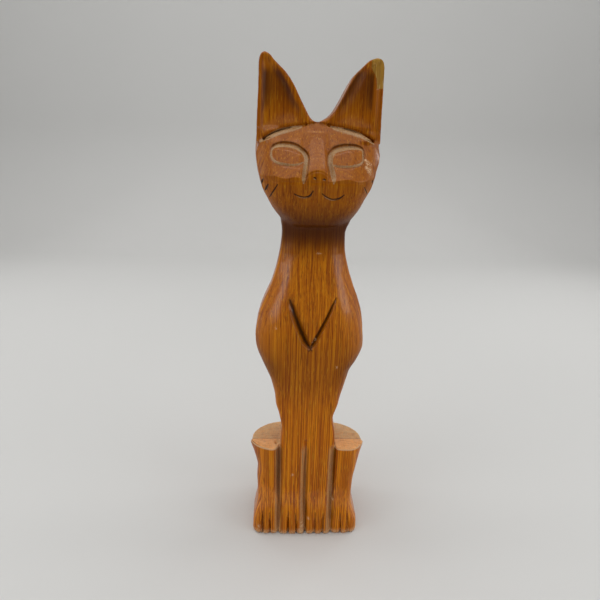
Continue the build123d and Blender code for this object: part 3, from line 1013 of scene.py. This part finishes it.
def patch_block():
    """A prism round the repaired ear tip: straight foot, curved inner side."""
    foot, inner = PATCH_FOOT / MM, PATCH_SIDE / MM
    side = smooth_path([
        (inner + 4.5, foot, 0, 0), (inner + 4.3, foot + 3, 0, 0), (inner + 3.4, foot + 6, 0, 0),
        (inner + 1.6, foot + 8.6, 0, 0), (inner + 1.2, foot + 11, 0, 0),
        (inner + 1.6, foot + PATCH_TALL, 0, 0),
    ])[::4]
    corners = [(x, z) for x, z, *_ in side] + [(PATCH_OUT, foot + PATCH_TALL), (PATCH_OUT, foot)]
    block = bmesh.new()
    face = block.faces.new([block.verts.new(Vector((x, BLOCK_FRONT, z)) * MM) for x, z in corners])
    swept = bmesh.ops.extrude_face_region(block, geom=[face])
    bmesh.ops.translate(block, vec=(0, BLOCK_DEEP * MM, 0), verts=only(bmesh.types.BMVert, swept))
    bmesh.ops.recalc_face_normals(block, faces=block.faces)
    return add_object("patch_block", block)


front_cutter, patch_cutter = front_block(), patch_block()
print("the glue is at", round(GLUE / MM, 2), "mm")

# %% Pieces
MOST_TRIANGLES = 180_000
SHARP = radians(50)


def triangles_of(mesh):
    """How many triangles the mesh's faces make."""
    return sum(len(face.vertices) - 2 for face in mesh.polygons)


def put_in_order(mesh):
    """Sorts a mesh's points, edges and faces by where they are."""
    held = bmesh.new()
    held.from_mesh(mesh)
    for kind, place in (
        (held.verts, lambda vert: vert.co),
        (held.edges, lambda edge: edge.verts[0].co + edge.verts[1].co),
        (held.faces, lambda face: face.calc_center_median()),
    ):
        ranks = np.lexsort(np.array([place(one) for one in kind]).T).argsort()
        for one, rank in zip(kind, ranks.tolist()):
            one.index = rank
        kind.sort()
    held.to_mesh(mesh)
    held.free()


def part(name, *steps):
    """A piece of the carved figure: each step keeps (INTERSECT) or takes off (DIFFERENCE) a block."""
    piece = add_object(name, blank.data.copy())
    for operation, block in steps:
        cutter = piece.modifiers.new(operation.lower(), "BOOLEAN")
        cutter.operation = operation
        cutter.object = block
        cutter.solver = "MANIFOLD"
    apply_modifiers(piece)
    if len(steps) > 1:
        put_in_order(piece.data)
    triangles = triangles_of(piece.data)
    if triangles > MOST_TRIANGLES:
        thin = piece.modifiers.new("thin", "DECIMATE")
        thin.ratio = MOST_TRIANGLES / triangles
        apply_modifiers(piece)
    piece.data.shade_smooth()
    piece.data.set_sharp_from_angle(angle=SHARP)
    print(name, "triangles:", triangles, "->", triangles_of(piece.data))
    return piece


front = part("carved_front_board", ("INTERSECT", front_cutter))
back = part("carved_back_board", ("DIFFERENCE", front_cutter), ("DIFFERENCE", patch_cutter))
ear_tip = part("repaired_ear_tip", ("DIFFERENCE", front_cutter), ("INTERSECT", patch_cutter))
for used in (blank, front_cutter, patch_cutter):
    bpy.data.objects.remove(used)

# %% [markdown]
# ## Marks that colour follows
#
# Walls of a cut that face up or towards the light get a painted highlight, and the walls that face
# away get painted shade; the bottoms of the cuts are dark with dirt and painted shade. The toes and
# edges are worn to bare wood, and painted shade lies under the chin, high in the ears, under the
# shoulders and on one wall of each groove between the legs. These places are known from the knots and
# from the way the wood faces, so each piece gets attributes from 0 to 1 for its finish.

# %% In and beside the cuts
# where the painted highlight on an eye's line ends, across the line from -1 to 1
LID_SPLIT = -0.1


def along(paths, points, strength=1.0, core=False):
    """How near each point is to some cuts: 1 inside, 0 outside; or, for the core, 1 at the bottom."""
    nearness = np.zeros(len(points))
    for path in paths:
        near, across, _ = across_cut(points, path, parts=(0, 2))
        if core:
            share = ramp(0.0, 0.9, 1 - np.abs(across))
        else:
            share = 1 - ramp(0.85, 1.2, np.abs(across))
        nearness[near] = np.maximum(nearness[near], share * strength)
    return nearness


def lid_lines(points):
    """The eye's lines: a painted highlight on the lid's wall, and a thin painted shadow on the outer wall."""
    highlight_share, dark = np.zeros(len(points)), np.zeros(len(points))
    for path, lid_side in gouged:
        near, across, _ = across_cut(points, path, parts=(0, 2))
        inner = across * lid_side
        split = LID_SPLIT - 0.4 * (1 - ramp(226, 229.5, points[near, 2]))
        lid = ramp(split - 0.2, split + 0.2, inner) * (1 - ramp(0.95, 1.2, inner))
        edge = ramp(-0.1, 0.3, split - 0.1 - inner) * (1 - ramp(0.95, 1.25, -inner))
        highlight_share[near] = np.maximum(highlight_share[near], lid)
        dark[near] = np.maximum(dark[near], edge)
    return highlight_share, dark


def cut_highlights_dirt_and_shade(points, facing):
    """Painted highlights and painted shade on the walls of the cuts and of the leg grooves, and dirt with
    painted shade at the bottoms.
    """
    x, y, z = points.T
    side, front, up = facing.T
    # how much a wall in the face turns up or to the right of the slope that it is cut into
    slope_up = 0.6 * ramp(216, 218, z) * (1 - ramp(240, 242, z))
    turned = 0.6 * side + 0.8 * (up - slope_up)
    lid_highlight, lid_edge_shade = lid_lines(points)
    scratches = along(scratched, points)
    # painted shade spreads wider and fainter beyond the arms of the V
    haze = [path * np.array([1, 1, 1, wider, 1]) for path, wider in zip(chest_arms, (2.3, 1.8))]
    # painted highlights on the walls that turn up or to the light, and along the brow's ledges
    polish = [lid_highlight, 0.95 * along(ledges, points), 0.6 * scratches * ramp(0.15, 0.4, turned)]
    # painted shade on the walls that turn away and round the V; dirt and painted shade at the bottoms of the
    # cuts
    dirt = [
        lid_edge_shade * (0.25 + 0.4 * ramp(0.0, 0.3, -turned)),
        scratches * ramp(-0.35, -0.1, -turned),
        along(faint, points, 0.25),
        along(chest_arms[:1], points, 0.97, core=True),
        along(chest_arms[1:], points, 0.85, core=True),
        along(haze, points, 0.4, core=True),
        along(kerfs, points, 0.9, core=True),
    ]
    on_legs = (1 - ramp(60, 66, z)) * within(-26, y, -7) * (front < 0.3)
    # in each groove between the legs: a painted highlight on the wall facing the right-hand window, painted
    # shade on the other
    for groove, *_ in leg_grooves:
        low_wall = ramp(groove - 3.6, groove - 2.2, x) * (1 - ramp(groove + 0.3, groove + 0.8, x))
        high_wall = ramp(groove + 0.4, groove + 0.9, x) * (1 - ramp(groove + 1.2, groove + 1.7, x))
        polish.append(0.75 * low_wall * on_legs)
        dirt.append(0.6 * high_wall * on_legs)
    return np.maximum.reduce(polish), np.maximum.reduce(dirt)


print("cuts that colour follows:", len(gouged + ledges + scratched + faint + chest_arms + kerfs))

# %% Worn places and gathered stain
# across, height and reach of a worn spot on the front
worn_spots = [
    (-2.6, 3.0, 2.4), (-1.9, 7.0, 1.5), (-2.4, 10.0, 0.8), (-28.8, 2.0, 2.2), (-28.6, 6.5, 1.1),
    (-24.4, 1.4, 1.2), (22.5, 0.8, 1.5), (27.6, 1.0, 1.8), (-20.5, 0.8, 1.3), (10.5, 1.0, 1.2),
    (4.5, 1.0, 1.3), (1.8, 13.5, 0.9), (16.2, 26.0, 0.9), (-8.5, 44.0, 0.7), (22.9, 225.0, 0.7),
    (23.9, 223.8, 1.1), (25.3, 223.2, 0.7), (23.3, 221.8, 0.9), (24.7, 220.6, 1.3), (25.3, 219.2, 0.7),
    (1.6, 134.0, 0.9), (0.4, 132.4, 0.5), (2.6, 179.0, 0.5), (14.0, 118.0, 0.7), (-19.0, 140.0, 0.5),
]


def worn(points, facing):
    """Bare wood: small spots on the front and the edge along the toes."""
    x, y, z = points.T
    forward = ramp(0.1, 0.4, -facing[:, 1])
    wear = 0.9 * (1 - ramp(1.6, 5.0, z)) * ramp(8, 12, -y) * forward
    for across, height, reach in worn_spots:
        distance = np.hypot(x - across, z - height)
        spot = (1 - ramp(0.4 * reach, 1.4 * reach, distance)) * forward * (y < -9)
        wear = np.maximum(wear, spot)
    return wear


def painted_shade(points, facing):
    """Painted shade under the chin, high in the ears' hollows and under the shoulders."""
    x, y, z = points.T
    front = facing[:, 1]
    forward = ramp(0.1, 0.4, -front)
    chin = (1 - ramp(191, 209, z)) * ramp(172, 189, z) * ramp(-0.3, 0.4, -front)
    under_shoulders = 0.55 * np.exp(-(((z - 115) / 8) ** 2)) * ramp(10, 23, np.abs(x)) * forward
    from_rim = np.minimum(np.abs(x) - gap_half(z) - 2.0, 27.2 - np.abs(x))
    by_rim = ramp(245, 250, z) * (1 - ramp(1.5, 6, from_rim))
    in_ear = ramp(0, 1.6, from_rim) * (0.55 * ramp(243, 257, z) + 0.45 * by_rim)
    in_ear *= (1 - ramp(262, 266.5, z)) * forward * ramp(-6, -5, y)
    return np.maximum.reduce([chin, in_ear * 0.95, under_shoulders])


def mark(piece):
    """Writes the finish's attributes onto a piece."""
    points, facing = points_of(piece.data), normals_of(piece.data)
    side, front, up = facing.T
    polish, dirt = cut_highlights_dirt_and_shade(points, facing)
    sawn = ramp(0.6, 0.9, up) * within(48, points[:, 2], 72) * (np.abs(points[:, 0]) > 15)
    marks = {
        "polish": polish, "dirt": dirt, "wear": worn(points, facing), "sawn": sawn,
        "shade": painted_shade(points, facing), "lean": np.clip(up, 0, 1) * (1 - sawn),
        "flank": ramp(0.45, 0.85, np.abs(side)),
    }
    for name, values in marks.items():
        held = piece.data.attributes.new(name, "FLOAT", "POINT")
        held.data.foreach_set("value", np.clip(values, 0, 1).astype(np.float32))
    return list(marks)


for piece in (front, back, ear_tip):
    print(piece.name, "attributes:", mark(piece))

# %% [markdown]
# ## Varnished hardwood
#
# Teak-like wood shows three things at once. Fibres make fine straight streaks up the figure. Growth
# layers lie almost parallel to the front, so they give broad bands on upright fronts and close arcs
# where the brow slopes through them. Open pores are short dark dashes, and short pale flecks lie
# between them. All of it is figured in three dimensions from the object's own coordinates, so the
# streaks run on round every edge and across the glue, and end as dots on the haunches' sawn tops.

# %% Shades of the wood
FRONT_SHADES = ((0.205, 0.043, 0.001), (0.37, 0.101, 0.001), (0.53, 0.182, 0.003))
BACK_SHADES = ((0.20, 0.042, 0.001), (0.365, 0.099, 0.001), (0.525, 0.18, 0.003))
PATCH_SHADES = ((0.27, 0.13, 0.016), (0.45, 0.235, 0.034), (0.55, 0.30, 0.05))
# the sawn tops' end grain: partly its own paler tone, partly a painted sheen
FRONT_END_GRAIN_AND_SHEEN, BACK_END_GRAIN_AND_SHEEN = (0.86, 0.47, 0.20, 1), (0.63, 0.42, 0.22, 1)
# painted shade under the chin, in the ears and under the shoulders; then the glue line's own dark
PAINTED_SHADE_COLOUR, GLUE_LINE = (0.05, 0.009, 0.001, 1), (0.12, 0.022, 0.008, 1)
# a painted highlight for the walls of the cuts; dirt and painted shade for their bottoms; bare wood, which
# also paints the highlight along the haunches' rims
PAINTED_HIGHLIGHT_COLOUR, DIRT_AND_SHADE_COLOUR, BARE_WOOD_AND_HIGHLIGHT = (0.42, 0.29, 0.155, 1), (0.022, 0.007, 0.001, 1), (0.70, 0.47, 0.27, 1)
# from the middle of the tree, which lay in front of the figure, to the object's origin, in mm
HEART = (-1.5, 62.0, 0.0)
# the bolder grain of the legs begins at the first height and is full at the second
LEGS_FROM, LEGS_FULL = 112, 78
# from one height down to another, the wood gets so much brighter; lower down this is partly its own
# tone and partly painted light, and the darkening from 142 to 122 mm is painted shade under the chest
BRIGHTER = ((200, 182, 0.3), (142, 122, -0.18), (110, 84, 0.42))


def haunch_plane():
    """The height of the haunches' sawn tops at the middle of the depth, and how it changes backwards."""
    depths = np.array([-14.0, -9.0, -7.0])
    heights = []
    for depth in depths:
        hit, place, *_ = front.ray_cast(Vector((24, depth, 100)) * MM, Vector((0, 0, -1)))
        heights.append(place.z / MM)
    slope, middle = np.polyfit(depths, heights, 1)
    return middle, slope


HAUNCH_MIDDLE, HAUNCH_SLOPE = haunch_plane()
print("the haunches' sawn tops: height at the middle, mm, and slope:",
      round(float(HAUNCH_MIDDLE), 2), round(float(HAUNCH_SLOPE), 3))

# %% [markdown]
# ## How the wood is mixed
#
# The figure of the wood is one number round 0.5, and a colour ramp turns it into the three shades. The
# three kinds of streak differ only in how far their noise is drawn out along the figure.

# %% The figured wood
class Wood(Recipe):
    """Varnished wood with streaks, growth layers and pores, from a dark, a middle and a light colour."""

    def __init__(self, name, shades, shift=(0, 0, 0)):
        super().__init__(bpy.data.materials.new(name))
        self.object_place = self.node("ShaderNodeTexCoord", output="Object")
        # in mm; the shift gives each board a figure of its own
        self.place = self.node(
            "ShaderNodeVectorMath", {"operation": "MULTIPLY_ADD"},
            {0: self.object_place, 1: (1000, 1000, 1000), 2: shift},
        )
        self.height = self.axis(self.place, "Z")
        self.lean = self.attribute("lean")
        self.on_legs = self.between(self.height, LEGS_FROM, LEGS_FULL)
        self.grain()
        self.board_edges()
        self.shade(*shades)

    def texture(self, factors, detail=2.0, roughness=0.5, twist=0.0):
        """Noise drawn out along the figure: the smaller a factor, the longer the marks that way."""
        return self.cloud(self.stretch(self.place, factors), 1.0, detail, roughness, twist)

    def grain(self):
        """Streaks, bands and growth layers make the figure; pores are kept apart."""
        flank = self.attribute("flank")
        drift = self.texture((0.04, 0.04, 0.012), 1.0)
        fine = self.texture((1.7, 0.25, 0.009), 3.0, 0.65, 0.05)
        self.streak = fine + (self.texture((0.10, 1.0, 0.008), 2.5, 0.6) - fine) * flank
        broad = self.texture((0.24, 0.08, 0.006), 2.0, 0.5, 0.3)
        from_heart = self.node("ShaderNodeVectorMath", {"operation": "ADD"}, {0: self.place, 1: HEART})
        radius = self.node(
            "ShaderNodeVectorMath", {"operation": "LENGTH"},
            {0: self.stretch(from_heart, (1, 1, 0.02))}, output="Value",
        )
        layer = self.node("ShaderNodeCombineXYZ", {}, {0: (radius + drift * 5) * 0.75})
        rings = self.cloud(layer, 1.0, 2.0, 0.6)
        self.pore = self.between(self.texture((1.9, 0.9, 0.05)), 0.58, 0.66)
        # the streaks are bolder down the chest and the legs, and weaker where the wood leans back
        amount = 0.88 + self.between(self.height, 202, 186, 0.0, 0.42) + self.on_legs * 0.6
        amount = amount * (1 - self.between(self.lean, 0.2, 0.55) * 0.75)
        self.figure = (
            (self.streak - 0.5) * amount + (broad - 0.5) * 0.28
            + (rings - 0.5) * (0.12 + self.lean * 0.5) + 0.5
        )

    def board_edges(self):
        """The glue line, and a painted highlight along the rim of each haunch's sawn top."""
        depth = self.axis(self.object_place, "Y") / MM
        self.seam = 1 - self.between(abs(depth - GLUE / MM), 0.15, 0.9)
        below = HAUNCH_MIDDLE + depth * HAUNCH_SLOPE - self.height
        across = abs(self.axis(self.object_place, "X") / MM)
        # a painted highlight along the rim of each sawn top
        self.rim_highlight = (1 - self.between(below, 0.3, 1.3)) * self.between(across, 15.7, 16.6)
        self.rim_highlight = self.rim_highlight * self.between(below, -0.5, -0.1)

    def shade(self, dark, middle, light):
        """The three shades, brighter or darker with height, partly as painted light and shade, with dark
        pores and pale flecks.
        """
        stops = ((0.28, dark), (0.5, middle), (0.74, light))
        colour = self.node("ShaderNodeValToRGB", {"stops": stops}, {"Fac": self.figure})
        # brighter or darker by height: partly the wood's own tone, partly painted light and shade; a little
        # darker where the wood leans back
        tone_and_painted_light = 0.9
        for start, end, change in BRIGHTER:
            tone_and_painted_light = tone_and_painted_light + self.between(self.height, start, end, 0.0, change)
        tone_and_painted_light = tone_and_painted_light - self.between(self.lean, 0.4, 0.58, 0.0, 0.06)
        colour = self.node("ShaderNodeVectorMath", {"operation": "SCALE"}, {0: colour, "Scale": tone_and_painted_light})
        pore_colour = (dark[0] * 0.5, dark[1] * 0.4, dark[2] * 0.4, 1)
        colour = self.mix(self.pore * 0.5, colour, pore_colour)
        fleck = self.between(self.texture((2.3, 1.1, 0.13), 1.0), 0.60, 0.72)
        fleck_colour = (light[0] * 1.15, light[1] * 1.5, light[2] * 4, 1)
        self.colour = self.mix(fleck * (0.45 + self.on_legs * 0.2), colour, fleck_colour)


woods = [
    Wood("front_wood_varnished", FRONT_SHADES),
    Wood("back_wood_varnished", BACK_SHADES, (0.05, 0, 0)),
    Wood("patch_wood_satin", PATCH_SHADES, (40, 10, 0)),
]
print("figured:", [wood.owner.name for wood in woods])

# %% [markdown]
# ## Finish, wear and painted light
#
# What lies over the wood comes in layers: painted shade under the chin, in the ears and under the
# shoulders; the sawn end grain, partly its own paler tone and partly a painted sheen; the glue line;
# painted highlights and painted shade on the walls of the cuts, with dirt and painted shade at their
# bottoms; and bare wood where the edges wore, which also paints a highlight along the haunches' rims.
# The varnish is a weak coat that shows most where the wood leans back a little, so the brow and the
# shoulders get a haze and the upright fronts stay deep.

# %% Finish, wear and painted light
COAT_ROUGH, GLOSS, RELIEF, RELIEF_DEPTH = 0.24, 0.1, 0.35, 0.00012


def varnished(wood, roughness=0.38, coat=0.06, end_grain_and_sheen=FRONT_END_GRAIN_AND_SHEEN):
    """Wears and dirties the wood at its marks, paints shade and highlights onto it, sets gloss and relief,
    and returns the material.
    """
    grit = wood.cloud(wood.place, 1.6, 3.0, 0.6)
    polish, dirt, wear, sawn, shade = (
        wood.attribute(name) for name in ("polish", "dirt", "wear", "sawn", "shade")
    )
    # painted shade under the chin, high in the ears and under the shoulders
    colour = wood.mix(shade * 0.88, wood.colour, PAINTED_SHADE_COLOUR)
    ends = wood.texture((0.25, 0.9, 0.2), 3.0, 0.6)
    # end grain on the sawn tops: partly its own paler tone, partly a painted sheen
    colour = wood.mix(sawn * wood.between(ends, 0.3, 0.7, 0.5, 0.95), colour, end_grain_and_sheen)
    seam = wood.seam * (0.1 + sawn * 0.65) * (1 - wood.between(wood.lean, 0.1, 0.5))
    colour = wood.mix(seam, colour, GLUE_LINE)
    highlight_share = polish * wood.between(grit, 0.3, 0.62, 0.3, 0.85)
    # painted highlights on the walls of the cuts
    colour = wood.mix(highlight_share, colour, PAINTED_HIGHLIGHT_COLOUR)
    # dirt and painted shade in the cuts
    colour = wood.mix(dirt * 0.9, colour, DIRT_AND_SHADE_COLOUR)
    # bare wood where worn, and a painted highlight along the haunches' rims
    wear_and_rim_highlight = wood.node("ShaderNodeMath", {"operation": "MAXIMUM"}, {
        0: wear * wood.between(grit, 0.38, 0.55), 1: wood.rim_highlight * (0.95 - sawn)
    })
    rough = roughness + (wood.figure - 0.5) * 0.12 + wood.pore * 0.1 + highlight_share * 0.2 + wear_and_rim_highlight * 0.25
    haze = coat + wood.between(wood.lean, 0.06, 0.3, 0.0, 0.6) - wood.between(wood.lean, 0.4, 0.58, 0.0, 0.45)
    relief = wood.streak * 0.5 - wood.pore * 0.5 + grit * 0.15
    bump = {"Strength": RELIEF, "Distance": RELIEF_DEPTH, "Height": relief}
    sockets = wood.surface.inputs
    wood.feed(sockets["Base Color"], wood.mix(wear_and_rim_highlight * 0.85, colour, BARE_WOOD_AND_HIGHLIGHT))
    wood.feed(sockets["Roughness"], rough)
    wood.feed(sockets["Coat Weight"], haze * (1 - wear_and_rim_highlight * 0.8) * (1 - highlight_share * 0.4))
    wood.feed(sockets["Normal"], wood.node("ShaderNodeBump", {}, bump))
    sockets["Coat Roughness"].default_value = COAT_ROUGH
    sockets["Specular IOR Level"].default_value = GLOSS
    return wood.owner


front_wood = varnished(woods[0])
back_wood = varnished(woods[1], end_grain_and_sheen=BACK_END_GRAIN_AND_SHEEN)
patch_wood = varnished(woods[2], 0.45, 0.1)
print("nodes in the front's wood:", len(front_wood.node_tree.nodes))

# %% [markdown]
# ## Paper for the studio, and the finishes go on
#
# Matt paper with the faintest mottling keeps the floor quiet. Each piece gets its one material.

# %% Paper and finishes
PAPER_DARK, PAPER_LIGHT, PAPER_ROUGH = (0.60, 0.60, 0.59, 1), (0.63, 0.63, 0.62, 1), 0.9


def plain_studio():
    """Matt pale paper for the floor and wall."""
    paper = Recipe(bpy.data.materials.new("studio_paper"))
    mottle = paper.cloud(paper.node("ShaderNodeTexCoord", output="Object"), 3.0, 2.0)
    paper.feed(paper.surface.inputs["Base Color"], paper.mix(mottle, PAPER_DARK, PAPER_LIGHT))
    paper.surface.inputs["Roughness"].default_value = PAPER_ROUGH
    return paper.owner


for piece, wood in ((front, front_wood), (back, back_wood), (ear_tip, patch_wood)):
    piece.data.materials.clear()
    piece.data.materials.append(wood)
floor.data.materials.append(plain_studio())
print("materials:", sorted(material.name for material in bpy.data.materials))

# %% [markdown]
# ## The pieces on one body
#
# Every carved piece rides on the one body, and the imported piece that it stands for is hidden.

# %% On one body
for piece, node, slot in (
    (front, "front_board", "front_wood"),
    (back, "back_board", "back_wood"),
    (ear_tip, "ear_tip_patch", "patch_wood"),
):
    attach(piece, "root")
    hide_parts(node)
floor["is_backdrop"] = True
boxes = [[list(corner) for corner in box] for box in (cad_box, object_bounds())]
print("sizes, mm:", [[[round(v / MM, 1) for v in corner] for corner in box] for box in boxes])
